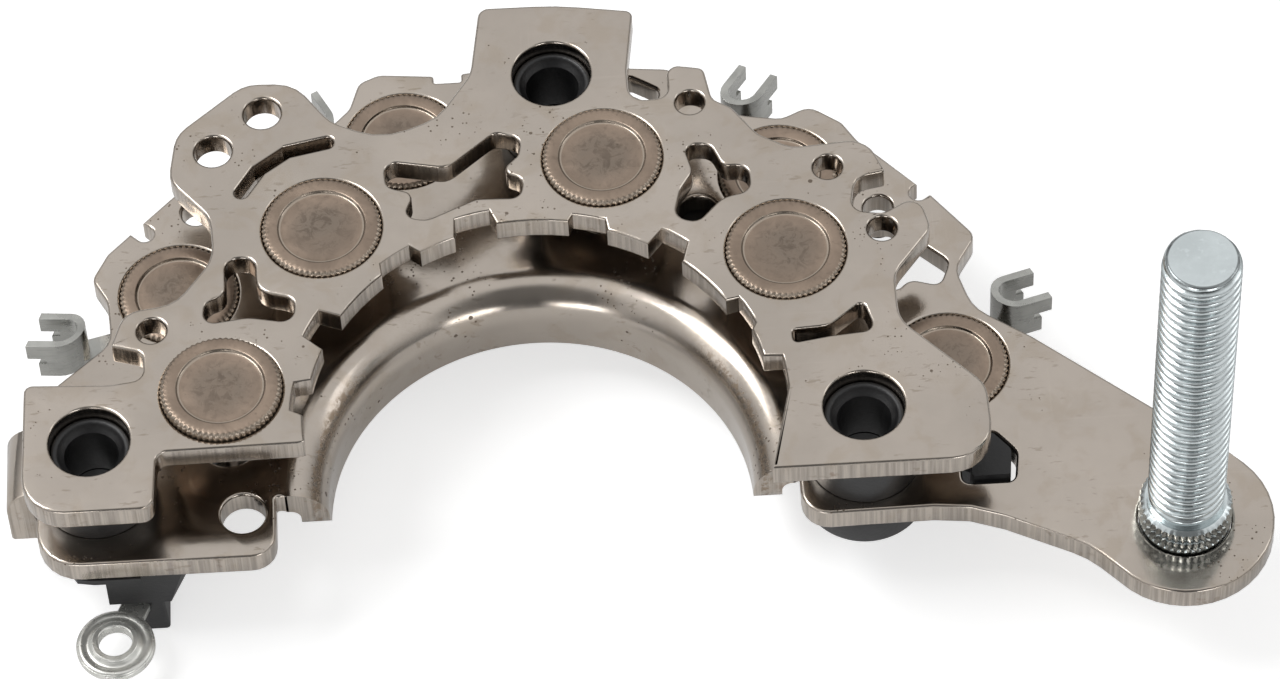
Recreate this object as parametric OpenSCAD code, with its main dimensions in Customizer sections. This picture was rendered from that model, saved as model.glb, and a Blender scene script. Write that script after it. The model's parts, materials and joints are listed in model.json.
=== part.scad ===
// Alternator rectifier: two arc-shaped heat sink plates with press-fit diodes,
// held apart by insulating bushes, with a terminal moulding under the lower plate.
// Units are millimetres. The origin is on the axis of the half-round flange,
// in the plane of the three mounting bushes' feet. +Z is up, +X points to the
// output stud and +Y to the tab with the top mounting hole.

/* [Plates] */
// Thickness of both heat sink plates
plate_t = 3; // [2:0.1:4]
// Clear gap between the two plates
plate_gap = 6.5; // [5:0.1:9]
// Radius of the holes that take the mounting bushes
bush_hole_r = 4.2; // [3.8:0.05:5]
// Inner radius of the upper plate's teeth
tooth_r = 23.7; // [23:0.1:24.5]

/* [Flange] */
// Inner radius of the half-round flange
flange_r = 22.25; // [20:0.05:22.5]
// Radius of the drawn bend, on its outer side
flange_bend_r = 4.2; // [3.4:0.1:4.6]
// Depth of the flange below the bushes' feet
flange_drop = 1.9; // [0.5:0.1:4]

/* [Diodes] */
// Radius of a press-fit diode's can
diode_r = 6.375; // [6:0.025:6.6]
// Height that a diode's can stands proud of its plate
diode_proud = 0.25; // [0.2:0.05:0.6]
// Radius of the sunk face on top of a can
diode_face_r = 4.56; // [3.8:0.02:5]
// Radius of the circle on which the upper diodes lie
upper_circle_r = 32.67; // [32:0.01:33.2]
// Radius of the circle on which the lower diodes lie
lower_circle_r = 44.4; // [43.8:0.05:45]
// Radius of a diode's lead
lead_r = 0.65; // [0.5:0.05:0.8]

/* [Bushes] */
// Radius of the bore for the mounting screw
bore_r = 2.85; // [2.2:0.05:3.2]
// Radius of a foot bush's flange
foot_r = 6.6; // [6.2:0.05:6.7]
// Height of a foot bush's flange
foot_h = 3.6; // [2.5:0.1:5]
// Radius of the spacer between the plates
spacer_r = 5.9; // [5.2:0.1:7]
// Depth of a bush's end below the upper plate's face
bush_sunk = 1.8; // [0.5:0.1:2.6]

/* [Output stud] */
// Radius of the stud over its thread
stud_r = 4; // [3:0.05:4.4]
// Height of the stud's end above the bushes' feet
stud_top = 52.3; // [35:0.1:70]
// Radius of the knurled collar
collar_r = 4.85; // [4.6:0.05:5.6]
// Height of the collar above the lower plate
collar_h = 3.6; // [2:0.1:6]
// Radius of the rounded end of the stud's arm
arm_end_r = 9.3; // [8.6:0.1:10.5]

/* [Terminals] */
// Thickness of the terminal strips
strip_t = 0.8; // [0.6:0.1:1]
// Height of the fork clips
clip_h = 5.4; // [4:0.1:6.5]
// Outer width of a fork clip
clip_w = 4.4; // [3.8:0.1:5]
// Length of a fork clip's arms
clip_l = 5.4; // [4.6:0.1:6]
// Radius of the ring terminal
ring_r = 4.15; // [3.4:0.05:4.6]
// Radius of the ring terminal's hole
ring_hole_r = 1.8; // [1.4:0.05:2.4]

/* [Hidden] */
$fn = 64;

// Heights of the faces, from the bushes' feet up
lower_z = foot_h;
lower_top = lower_z + plate_t;
upper_z = lower_top + plate_gap;
upper_top = upper_z + plate_t;

// Clearances
fit = 0.05;
through = 1;

// Places on the plates
arc_centre = [0, 1.8];
upper_angles = [172.3, 131.4, 75.2, 34.1];
lower_angles = [147.7, 107.2, 52.4, 11.8];
left_hole = [-46.1, 0.8];
top_hole = [3.4, 45.0];
right_hole = [33.9, -0.2];
stud_place = [66.4, -10];
foot_hole_place = [-31, -2.9];
foot_hole_r = 2.35;

function polar(r, a) = [r * cos(a), r * sin(a)];
function on_arc(r, a) = arc_centre + polar(r, a);
function upper_place(i) = on_arc(upper_circle_r, upper_angles[i]);
function lower_place(i) = on_arc(lower_circle_r, lower_angles[i]);

// Points of an arc, from angle a0 to angle a1
function arc(c, r, a0, a1, n = 8) = [for (k = [0:n]) c + polar(r, a0 + (a1 - a0) * k / n)];

// One corner of an outline, rounded to radius r where its sides leave room
function corner(a, b, c, r) =
    let (
        u = (a - b) / norm(a - b),
        v = (c - b) / norm(c - b),
        half = acos(max(-1, min(1, u * v))) / 2,
        d = min(r / tan(half), 0.49 * norm(a - b), 0.49 * norm(c - b)),
        rr = d * tan(half)
    )
    (r <= 0 || half > 88) ? [b] :
    let (
        centre = b + (u + v) / norm(u + v) * d / cos(half),
        from = b + u * d - centre,
        turn = (u[0] * v[1] - u[1] * v[0] > 0 ? -1 : 1) * (180 - 2 * half),
        a0 = atan2(from[1], from[0]),
        n = max(2, ceil(abs(turn) / 18))
    )
    [for (k = [0:n]) centre + polar(rr, a0 + turn * k / n)];

// Outline whose corners are given as [x, y, radius]
function rounded(p) =
    let (n = len(p), xy = [for (q = p) [q[0], q[1]]])
    [for (i = [0:n - 1]) each corner(xy[(i + n - 1) % n], xy[i], xy[(i + 1) % n], p[i][2])];

module slab(outline, z, h) {
    translate([0, 0, z]) linear_extrude(h) polygon(outline);
}

// Straight slot with round ends
module slot(a, b, w, z, h) {
    way = b - a;
    translate([a[0], a[1], z]) {
        cylinder(h = h, r = w / 2);
        rotate([0, 0, atan2(way[1], way[0])]) {
            translate([0, -w / 2, 0]) cube([norm(way), w, h]);
            translate([norm(way), 0, 0]) cylinder(h = h, r = w / 2);
        }
    }
}

// Straight bar with square ends
module bar(a, b, w, z, h) {
    way = b - a;
    translate([a[0], a[1], z]) rotate([0, 0, atan2(way[1], way[0])])
        translate([0, -w / 2, 0]) cube([norm(way), w, h]);
}

module hole(place, r, z, h) {
    translate([place[0], place[1], z]) cylinder(h = h, r = r);
}

// Teeth of the upper plate's inner edge: start angle, end angle, distance from tooth_r
teeth = [
    [186, 178, 0.3], [176.5, 168.8, 1.6], [167.5, 157.5, -0.1], [155.5, 147.8, 2.4],
    [146.8, 130.5, 0], [128.5, 120, 1.2], [118.6, 108.9, -0.2], [107, 98.7, 2.1],
    [97.6, 79.4, 0.2], [78.6, 70.6, 1.2], [69, 57.6, -0.1], [57, 50, 2.4],
    [47.4, 30.8, 0.1], [29.8, 21.4, 1.4], [20, 11.4, 0.7], [10.4, 2, 2.6]
];
toothed_edge = [for (t = teeth) each arc(arc_centre, tooth_r + t[2], t[0], t[1], 4)];

upper_outline = concat(
    rounded([
        [24.2, -7.4, 1.8], [46.9, -7.5, 5.5], [46.7, 1.6, 3.5], [38.3, 10.4, 4], [38.2, 16.2, 3],
        [42.5, 21.8, 2], [41.4, 26.4, 2.4], [37.6, 24.1, 1.8], [34.2, 24.7, 1.4], [34.9, 28.9, 1.8],
        [38.2, 29.5, 0.3], [36.4, 34.0, 3], [28.5, 33.4, 3], [25, 35.4, 3], [22.4, 39.2, 2],
        [20.4, 40.4, 1.5], [19.7, 44.6, 0.9], [15.7, 45.4, 1.2], [15.8, 41, 1.4], [11.6, 40.7, 1.8],
        [11.5, 45, 4], [12.5, 52.9, 0.8], [4.2, 54.3, 30], [-4.1, 54.4, 1.2], [-5.3, 45.6, 4],
        [-9, 40, 5], [-15, 37.6, 7], [-20.4, 40.3, 4], [-24.2, 45.7, 4.2], [-29.6, 46.0, 4],
        [-37.0, 39.7, 4], [-37.8, 33.6, 3.5], [-33.4, 28.4, 4], [-33.1, 23.2, 5], [-37.2, 17.6, 4],
        [-42.5, 16.9, 2.6], [-43.9, 12.6, 0.3], [-40.6, 11.6, 1], [-40.4, 8.2, 1.4], [-44, 7.8, 2],
        [-52.9, 8.3, 0.9], [-53.1, -7.9, 4.5], [-39.5, -7.9, 1.5], [-39.2, -1, 1.2], [-24.7, -0.9, 0.8]
    ]),
    toothed_edge
);

y_slot = rounded([
    [-14.9, 34.6, 1.2], [-8.2, 33.2, 2], [-3, 37.6, 1.4], [-0.2, 36.6, 1.3], [-0.6, 34.4, 1],
    [-2.6, 32.4, 0.9], [-0.1, 31.2, 1.2], [-0.6, 28.8, 1.2], [-5.2, 29, 2], [-10.5, 26.6, 1.8],
    [-12.9, 27.2, 1.2], [-11.7, 30.2, 1], [-14.6, 31.2, 1.2]
]);
left_lobed_slot = rounded([
    [-31.9, 23, 1.4], [-28.7, 23, 1.4], [-28.6, 18.6, 2], [-24.6, 17.4, 1.3], [-24.8, 14.4, 1.3],
    [-29.5, 15.4, 4], [-34.2, 14.8, 1.4], [-34, 17.6, 1.3], [-31.8, 18.4, 1.5]
]);
right_lobed_slot = rounded([
    [17, 34.6, 1.4], [19.8, 34.4, 1.4], [21, 31.4, 1.2], [23.7, 31.4, 1.4], [23.8, 28, 1.4],
    [20.8, 27.4, 3], [18, 24.3, 1.4], [15.6, 25.2, 1.4], [16.4, 28.6, 2], [17.9, 31, 1.5]
]);
right_slit = rounded([
    [27.1, 9.8, 0.5], [31, 10, 3], [34.6, 13, 0.6], [35.7, 9.2, 1], [31, 8.8, 2], [27.2, 8.2, 0.5]
]);
arc_slot = [[-20.9, 37.5], [-25.2, 36.6], [-28.2, 34.4], [-30, 31.6]];
arc_slot_w = 1.5;

// Drilled holes of the upper plate: place and radius
upper_holes = [
    [[18, 40.1], 1.55], [[32.1, 30.5], 1.55], [[37.3, 22.1], 1.55], [[-39.6, 14.3], 1.55],
    [[-27.7, 41.9], 2], [[-33.0, 37.2], 2]
];

module upper_plate() {
    cut_z = upper_z - through;
    cut_h = plate_t + 2 * through;
    color([0.68, 0.65, 0.61]) difference() {
        slab(upper_outline, upper_z, plate_t);
        slab(y_slot, cut_z, cut_h);
        slab(left_lobed_slot, cut_z, cut_h);
        slab(right_lobed_slot, cut_z, cut_h);
        slab(right_slit, cut_z, cut_h);
        for (i = [0:len(arc_slot) - 2]) slot(arc_slot[i], arc_slot[i + 1], arc_slot_w, cut_z, cut_h);
        for (h = upper_holes) hole(h[0], h[1], cut_z, cut_h);
        for (h = [left_hole, top_hole, right_hole]) hole(h, bush_hole_r, cut_z, cut_h);
        for (i = [0:3]) hole(upper_place(i), diode_r, cut_z, cut_h);
    }
}

// The flange's bend starts at this radius, on the plate's top
bend_start_r = flange_r + flange_bend_r;
flange_bottom = -flange_drop;
// Height of the plate's front edge between the feet
front_edge_y = -1.1;
// Flat strip with which a bend runs on into the plate
lap = 1.2;
bend_edge_r = bend_start_r + lap / 2;
bend_edge_x = sqrt(bend_edge_r * bend_edge_r - front_edge_y * front_edge_y);
arm_angle = 52;

lower_outline = concat(
    arc([0, 0], bend_edge_r, 180, 0, 36),
    rounded([
        [bend_edge_x, front_edge_y, 0], [bend_edge_x, -7.1, 3], [44.5, -6.9, 16], [56.2, -12.7, 10],
        [59.6, -16.3, 0]
    ]),
    arc(stud_place, arm_end_r, 228, 360 + arm_angle, 20),
    rounded([
        [72.2, -2.7, 0], [64.4, 3.9, 0], [52.6, 13.8, 6], [46.7, 18, 5], [45.2, 23.2, 3], [47.7, 27.3, 1.5],
        [43.4, 32.9, 1], [38.4, 38.3, 5], [35.9, 40.9, 3], [34.4, 43.4, 1.5], [31, 45.9, 2],
        [27.9, 44.4, 2], [23.4, 45.2, 4], [18.4, 48.4, 4], [16.2, 52, 1.4], [11.5, 52.5, 4],
        [2, 54, 30], [-6.6, 53, 0.3], [-6.6, 51.9, 0.3], [-9.6, 51.9, 0.3], [-9.6, 52.9, 0.3],
        [-15.6, 53.5, 2], [-17.8, 52.5, 1.5], [-18.9, 49, 2], [-21.2, 46.6, 3], [-27, 45.4, 4],
        [-31.4, 43.4, 8], [-37.6, 39.1, 8], [-45.2, 31.4, 1.5], [-46.9, 28.1, 1.5],
        [-45.2, 25, 3], [-44.8, 19.8, 3], [-52.3, 13.1, 3], [-52.6, -8.2, 4.6],
        [-bend_edge_x - 0.6, -8.3, 2.6], [-bend_edge_x - 0.6, front_edge_y, 0.4],
        [-bend_edge_x, front_edge_y, 0]
    ])
);

right_opening = rounded([
    [35.7, 29.7, 1.2], [38.6, 29.7, 1.2], [44.6, 24.1, 1.3], [43.4, 21.1, 1], [40.2, 22.1, 1.5],
    [38.4, 20.3, 1], [36.1, 25, 2]
]);
peg_opening = rounded([
    [43.9, -4.3, 0.8], [49.3, -4.3, 0.8], [49.8, -0.8, 1.6], [47.6, 1.9, 1], [43.9, 1.9, 1]
]);
// Holes of the lower plate: place and radius
lower_holes = [[[37.5, 31.7], 1.6], [[18.3, 32.4], 2.2], [[-35.6, 36.2], 1.6]];
// Openings under the upper diodes, for their leads
lead_hole_r = 3;

module half_flange() {
    // Profile: distance from the axis, height
    bend = arc([bend_start_r, lower_top - flange_bend_r], flange_bend_r, 90, 180, 10);
    inner = arc([bend_start_r, lower_top - flange_bend_r], flange_bend_r - plate_t, 180, 90, 6);
    profile = concat(
        [[bend_start_r + lap, lower_z], [bend_start_r + lap, lower_top]],
        bend,
        [[flange_r, flange_bottom + 0.5], [flange_r + 0.5, flange_bottom]],
        [[flange_r + plate_t - 0.5, flange_bottom], [flange_r + plate_t, flange_bottom + 0.5]],
        inner
    );
    difference() {
        rotate([0, 0, -6]) rotate_extrude(angle = 192, $fn = 96) polygon(profile);
        translate([-40, front_edge_y - 10, -20]) cube([80, 10, 40]);
        // The flange's ends lean back towards its lower edge
        for (side = [-1, 1])
            translate([side * (flange_r + 2), front_edge_y, lower_top - 5])
                rotate([lean, 0, 0]) translate([-5, -6, -12]) cube([10, 6, 12]);
    }
}
lean = -33;

side_flange_y = [1, 9.4];
side_bend_r = 3.3;
side_bend_x = left_hole[0] - foot_r - 0.05;
module side_flange() {
    c = [0, lower_top - side_bend_r];
    bend_in = max(side_bend_r - plate_t, 0.1);
    profile = concat(
        [[lap, lower_z], [lap, lower_top]],
        arc(c, bend_in + plate_t, 90, 180, 8),
        [[-bend_in - plate_t, flange_bottom], [-bend_in, flange_bottom]],
        arc(c, bend_in, 180, 90, 5)
    );
    translate([side_bend_x, side_flange_y[1], 0])
        rotate([90, 0, 0]) linear_extrude(side_flange_y[1] - side_flange_y[0]) polygon(profile);
}

module lower_plate() {
    cut_z = lower_z - through;
    cut_h = plate_t + 2 * through;
    color([0.68, 0.65, 0.61]) difference() {
        union() {
            slab(lower_outline, lower_z, plate_t);
            half_flange();
            side_flange();
        }
        slab(right_opening, cut_z, cut_h);
        slab(peg_opening, cut_z, cut_h);
        for (h = lower_holes) hole(h[0], h[1], cut_z, cut_h);
        hole(foot_hole_place, foot_hole_r, cut_z, cut_h);
        hole(stud_place, collar_r, cut_z, cut_h);
        for (h = [left_hole, top_hole, right_hole]) hole(h, bush_hole_r, cut_z, cut_h);
        for (i = [0:3]) {
            hole(lower_place(i), diode_r, cut_z, cut_h);
            hole(upper_place(i), lead_hole_r, cut_z, cut_h);
        }
        slot([-29.8, 38.2], [-28.4, 40.8], 2, cut_z, cut_h);
        slot([11.6, 50.1], [13.8, 48.7], 2, cut_z, cut_h);
        // Room for the fork clips, which stand at the plate's edge
        for (i = [0:3])
            slot(clip_place(i), clip_place(i) + polar(clip_l, clips[i][2]), clip_w + 0.6, cut_z, cut_h);
        // Notches in the outer edge
        slot([42, 33.4], [45, 35.6], 1.9, cut_z, cut_h);
        slot([-41.2, 33.8], [-44, 36.4], 1.9, cut_z, cut_h);
    }
}

// Press-fit diode: a can with a sunk face on top, a sealing dome and a lead
can_under = 1;
dome_h = 1.2;
step_depth = 0.3;
module diode(place, plate_z, lead_end, extra = 0) {
    top = plate_z + plate_t + diode_proud + extra;
    under = plate_z - can_under;
    rim = 0.35;
    color([0.55, 0.5, 0.45]) translate([place[0], place[1], 0]) rotate_extrude() polygon([
        [0, lead_end], [lead_r, lead_end], [lead_r, under - dome_h], [1.6, under - dome_h],
        [4.4, under], [diode_r - rim, under], [diode_r, under + rim], [diode_r, top - rim],
        [diode_r - rim, top], [diode_face_r, top], [diode_face_r - 0.2, top - step_depth],
        [0, top - step_depth]
    ]);
}

// Lower end of every lead, just under the terminal strips
strip_z = 0.2;
lead_end = strip_z - 0.6;

module output_stud() {
    chamfer = 0.6;
    knurl_top = lower_top + collar_h;
    color([0.75, 0.78, 0.82]) translate([stud_place[0], stud_place[1], 0]) rotate_extrude() polygon([
        [0, lower_z], [collar_r - 0.3, lower_z], [collar_r, lower_z + 0.3],
        [collar_r, knurl_top - 0.5], [collar_r - 0.5, knurl_top], [stud_r, knurl_top],
        [stud_r, stud_top - 1.6], [stud_r - chamfer, stud_top], [0, stud_top]
    ]);
}

// Lower bush: a foot under the lower plate and a spigot through its hole
module foot_bush(place) {
    color([0.08, 0.08, 0.09]) translate([place[0], place[1], 0]) difference() {
        union() {
            cylinder(h = foot_h, r = foot_r);
            cylinder(h = lower_top, r = bush_hole_r - fit);
        }
        translate([0, 0, -through]) cylinder(h = lower_top + 2 * through, r = bore_r);
    }
}

// Spacer bush: a collar between the plates and a spigot into the upper plate
module spacer_bush(place) {
    top = upper_top - bush_sunk;
    color([0.08, 0.08, 0.09]) translate([place[0], place[1], 0]) difference() {
        union() {
            translate([0, 0, lower_top]) cylinder(h = plate_gap, r = spacer_r);
            translate([0, 0, lower_top]) cylinder(h = top - lower_top, r = bush_hole_r - fit);
        }
        translate([0, 0, lower_top - through]) cylinder(h = top - lower_top + 2 * through, r = bore_r);
    }
}

// Each phase's fork clip: distance outside the lower diodes' circle, angle on it,
// direction in which the fork opens, slant of its back
clips = [[9.68, 157.6, 175, 0.3], [7.7, 116, 118, 0], [8.68, 63.2, 54, -0.2], [9.98, 20, 16, -0.2]];
clip_t = 0.8;
function clip_place(i) = on_arc(lower_circle_r + clips[i][0], clips[i][1]);
strip_w = 2.6;
eyelet_r = 2.1;
clip_z = strip_z;

// Outline of a U that opens along +X, from its round back to x = l
function u_shape(r, l, slant) =
    [for (p = concat(arc([0, 0], r, 90, 270, 12), [[l, -r], [l, r]])) [p[0] + slant * p[1], p[1]]];

// Strip on edge, bent to a U, with an upper and a lower prong on each arm
module fork_outside(slant) {
    r = clip_w / 2;
    l = clip_l - r;
    prong_h = clip_h * 0.42;
    translate([0, 0, clip_z]) {
        linear_extrude(prong_h) polygon(u_shape(r, l - 1.1, slant));
        translate([0, 0, prong_h]) linear_extrude(clip_h - 2 * prong_h) polygon(u_shape(r, l - 2, slant));
        translate([0, 0, clip_h - prong_h]) linear_extrude(prong_h) polygon(u_shape(r, l, slant));
    }
}

module fork_inside(slant) {
    translate([0, 0, clip_z - through])
        linear_extrude(clip_h + 2 * through) polygon(u_shape(clip_w / 2 - clip_t, clip_l, slant));
}

module phase_terminal(i) {
    c = clip_place(i);
    a = clips[i][2];
    slant = clips[i][3];
    color([0.72, 0.73, 0.71]) difference() {
        union() {
            translate([c[0], c[1], 0]) rotate([0, 0, a]) fork_outside(slant);
            bar(c, lower_place(i), strip_w, strip_z, strip_t);
            bar(lower_place(i), upper_place(i), strip_w, strip_z, strip_t);
            hole(lower_place(i), eyelet_r, strip_z, strip_t);
            hole(upper_place(i), eyelet_r, strip_z, strip_t);
        }
        hole(lower_place(i), lead_r + fit, strip_z - through, strip_t + 2 * through);
        hole(upper_place(i), lead_r + fit, strip_z - through, strip_t + 2 * through);
        translate([c[0], c[1], 0]) rotate([0, 0, a]) fork_inside(slant);
    }
}

carrier_in = 34.2;
carrier_out = 40;
carrier_bottom = -1.4;
carrier_top = lower_z;
block_bottom = -7.6;
peg_top = lower_top + 0.6;
ring_place = [-45.3, -11.7];
ring_z = -4.2;
neck_w = 3;
neck_end = [-42.6, -5.6];

module terminal_carrier() {
    color([0.07, 0.07, 0.08]) difference() {
        union() {
            slab(concat(arc(arc_centre, carrier_out, 2, 186, 46), arc(arc_centre, carrier_in, 186, 2, 46)),
                carrier_bottom, carrier_top - carrier_bottom);
            // Block at the left foot, for the ring terminal
            slab([[-45.8, -7.6], [-37.6, -7.6], [-36.2, -1], [-37.6, 4.5], [-41.2, 4.5], [-45.8, -6.2]], -2.2, carrier_top + 2.2);
            slab(rounded([[-41.4, -7.4, 0.4], [-38.4, -7.4, 0.4], [-38.4, -3.4, 0.4], [-41.4, -3.4, 0.4]]), block_bottom, 6.2);
            // Arm at the right, with the peg in the plate's opening
            slab([[36, 1], [41.2, 1], [49, -3.4], [49, 0], [40.5, 6], [36, 6]], carrier_bottom, carrier_top - carrier_bottom);
            slab(rounded([[44.9, -3.9, 0.4], [48.9, -3.9, 0.4], [49.2, -0.8, 1.2], [47.4, 1.4, 0.6], [44.9, 1.4, 0.6]]), carrier_bottom, peg_top - carrier_bottom);
        }
        for (i = [0:3]) {
            hole(lower_place(i), diode_r + 0.3, carrier_bottom - through, carrier_top - carrier_bottom + 2 * through);
            hole(upper_place(i), lead_hole_r + 0.3, carrier_bottom - through, carrier_top - carrier_bottom + 2 * through);
            bar(lower_place(i), upper_place(i), strip_w + 2 * fit, strip_z - fit, strip_t + 2 * fit);
        }
        for (h = [left_hole, top_hole, right_hole]) hole(h, foot_r + 0.2, block_bottom - through, 14);
        slot(neck_end, ring_place, neck_w + 2 * fit, ring_z - fit, strip_t + 2 * fit);
    }
}

module ring_terminal() {
    color([0.75, 0.74, 0.7]) difference() {
        union() {
            slot(neck_end, ring_place, neck_w, ring_z, strip_t);
            hole(ring_place, ring_r, ring_z, strip_t);
            hole(ring_place, ring_hole_r + 0.7, ring_z, strip_t + 0.6);
        }
        hole(ring_place, ring_hole_r, ring_z - through, strip_t + 3);
    }
}

upper_plate();
lower_plate();
diode(upper_place(0), upper_z, lead_end, 0.6);  // upper_diode_1
diode(upper_place(1), upper_z, lead_end);  // upper_diode_2
diode(upper_place(2), upper_z, lead_end, 0.15);  // upper_diode_3
diode(upper_place(3), upper_z, lead_end);  // upper_diode_4
diode(lower_place(0), lower_z, lead_end);  // lower_diode_1
diode(lower_place(1), lower_z, lead_end);  // lower_diode_2
diode(lower_place(2), lower_z, lead_end);  // lower_diode_3
diode(lower_place(3), lower_z, lead_end);  // lower_diode_4
output_stud();
foot_bush(left_hole);  // foot_bush_left
foot_bush(top_hole);  // foot_bush_top
foot_bush(right_hole);  // foot_bush_right
spacer_bush(left_hole);  // spacer_bush_left
spacer_bush(top_hole);  // spacer_bush_top
spacer_bush(right_hole);  // spacer_bush_right
terminal_carrier();
phase_terminal(0);  // phase_terminal_1
phase_terminal(1);  // phase_terminal_2
phase_terminal(2);  // phase_terminal_3
phase_terminal(3);  // phase_terminal_4
ring_terminal();
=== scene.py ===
"""Alternator rectifier: stamped heat sink plates, press-fit diodes, output stud, bushes and terminals."""
import json
import math

import bpy
import numpy as np
from bpy.props import FloatProperty, FloatVectorProperty, IntProperty, PointerProperty
from bpy.types import Operator, Panel, PropertyGroup
from mathutils import Matrix, Vector

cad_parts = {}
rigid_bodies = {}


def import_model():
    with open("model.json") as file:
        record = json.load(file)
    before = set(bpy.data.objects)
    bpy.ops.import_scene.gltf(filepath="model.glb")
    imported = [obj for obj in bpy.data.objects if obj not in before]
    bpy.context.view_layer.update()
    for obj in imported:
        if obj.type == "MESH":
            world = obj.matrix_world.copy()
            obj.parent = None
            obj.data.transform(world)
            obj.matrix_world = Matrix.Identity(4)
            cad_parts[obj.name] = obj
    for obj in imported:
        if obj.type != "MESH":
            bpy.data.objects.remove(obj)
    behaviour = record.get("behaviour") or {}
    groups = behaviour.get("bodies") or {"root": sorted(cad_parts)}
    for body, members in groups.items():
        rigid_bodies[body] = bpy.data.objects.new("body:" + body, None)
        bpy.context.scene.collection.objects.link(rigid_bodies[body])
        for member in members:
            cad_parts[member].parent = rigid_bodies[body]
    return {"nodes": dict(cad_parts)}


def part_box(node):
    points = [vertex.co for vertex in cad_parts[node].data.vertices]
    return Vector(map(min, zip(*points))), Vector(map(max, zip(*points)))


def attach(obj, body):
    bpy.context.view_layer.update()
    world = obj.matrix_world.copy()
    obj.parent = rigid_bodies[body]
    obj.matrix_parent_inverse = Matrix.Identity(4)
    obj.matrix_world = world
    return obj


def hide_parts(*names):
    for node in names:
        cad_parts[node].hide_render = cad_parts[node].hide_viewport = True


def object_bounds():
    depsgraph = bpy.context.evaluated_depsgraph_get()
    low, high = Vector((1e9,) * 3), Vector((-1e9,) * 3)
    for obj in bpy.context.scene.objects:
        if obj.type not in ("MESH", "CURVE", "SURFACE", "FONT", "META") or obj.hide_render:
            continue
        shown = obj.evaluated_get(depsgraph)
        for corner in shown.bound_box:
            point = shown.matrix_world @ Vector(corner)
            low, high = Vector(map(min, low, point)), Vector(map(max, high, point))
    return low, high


bl_info = {
    "name": "Alternator Rectifier",
    "version": (1, 0, 0),
    "blender": (4, 5, 0),
    "location": "View3D > Sidebar > Rectifier",
    "description": "Makes the visible pieces and finishes of an alternator rectifier",
    "category": "Object",
}

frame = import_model()
CAD_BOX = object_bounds()
NODES = frame["nodes"]
MM = 0.001

# Heights of the two plates' faces, and the thickness of their sheet.
UPPER_TOP = 16.1 * MM
UPPER_Z = 13.1 * MM
LOWER_TOP = 6.6 * MM
LOWER_Z = 3.6 * MM
SHEET = 3 * MM

# The drawn flange: its wall's inner radius, its bend's outer radius, how far it hangs below zero, the
# rounding of its lower edge, the height at which its two ends start to lean back, and by which angle.
FLANGE_R = 22.25 * MM
BEND_R = 4.2 * MM
DROP = 1.9 * MM
FLANGE_EDGE = 0.45 * MM
END_Y = -1.1 * MM
LEAN_Z = LOWER_TOP - 5 * MM
LEAN = math.radians(33)

# The short side flange: its bend's outer radius, where it starts and ends, and the rounding of its edges.
SIDE_R = 3.3 * MM
SIDE_Y = (1.0 * MM, 9.4 * MM)
SIDE_EDGE = 0.3 * MM
SIDE_END = 0.22 * MM

# A bend's surface starts this far inside the flat sheet, and a hair under its face. Points within a hair
# of a face's height lie in it.
LAP = 0.25 * MM
HAIR = 0.002 * MM

# A diode's outline in mm: lead and dome as (radius, height over the can's underside), the shoulder as
# (radius over the can's, height over the top), and the sunk face as (radius, height over the top).
DIODE_UNDER = ((0.65, -1.2), (1.6, -1.2), (3.0, -0.75), (4.4, 0), (6.0, 0))
DIODE_SHOULDER = ((-0.04, -0.33), (-0.13, -0.2), (-0.26, -0.09), (-0.4, -0.02), (-0.5, 0))
DIODE_FACE = ((5.4, 0), (4.78, 0), (4.7, -0.02), (4.63, -0.08), (4.57, -0.2), (4.5, -0.27), (4.42, -0.3),
              (4.0, -0.29), (3.0, -0.27), (1.6, -0.25), (0.5, -0.245), (0.02, -0.245))

# The output stud's shaft, and the shallow crater in its end as (radius, depth) in mm.
SHAFT_R = 4 * MM
THREAD_DEEP = 0.62 * MM
STUD_CRATER = ((3.25, 0.0), (3.0, 0.05), (1.6, 0.12), (0.02, 0.14))

# The bushes' bore and spigot radii, in mm.
BORE = 2.85
SPIGOT = 4.15

# The ring terminal's centre, and the pressed ridges round its eye as (radius, height) in mm.
RING_PLACE = (-45.3 * MM, -11.7 * MM)
EYE_RELIEF = ((1.82, -3.45), (1.82, -3.0), (1.95, -2.85), (2.2, -2.8), (2.45, -2.88), (2.62, -3.1),
              (2.82, -3.3), (3.05, -3.36), (3.3, -3.3), (3.55, -3.2), (3.8, -3.24), (3.95, -3.34),
              (4.0, -3.45), (1.82, -3.45))

# The moulding's lip under the left foot: its outline as (x, y), and its two heights, in mm.
LIP = ((-49.4, -6.8), (-48.6, -8.0), (-46.8, -8.3), (-42.0, -8.3), (-42.0, -6.2), (-45.6, -6.3),
       (-48.2, -6.0))
LIP_Z = (2.8, 3.58)

# Each lamp: name, place, the point it aims at, width, height and power.
LAMPS = (
    ("key_panel", (-0.5, 0.15, 0.8), (0.01, 0.02, 0.01), 0.45, 0.35, 3.6),
    ("left_strip", (-0.7, -0.05, 0.35), (0.0, 0.01, 0.01), 0.18, 0.6, 0.3),
    ("right_strip", (0.75, 0.1, 0.45), (0.02, 0.0, 0.02), 0.2, 0.6, 0.45),
    ("front_left_lamp", (-0.24, -0.62, 0.11), (0.0, 0.02, 0.0), 0.24, 0.15, 0.55),
    ("front_right_lamp", (0.28, -0.62, 0.11), (0.0, 0.02, 0.0), 0.24, 0.15, 0.55),
)

# The photograph's camera: its place, the way it looks, the way to its right, and its lens in mm.
CAMERA_PLACE = (0.01125, -0.3626, 0.5480)
CAMERA_AHEAD = (0, 0.5733, -0.8194)
CAMERA_RIGHT = (0.9983, -0.0473, -0.0331)
CAMERA_LENS = 175.75


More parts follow.
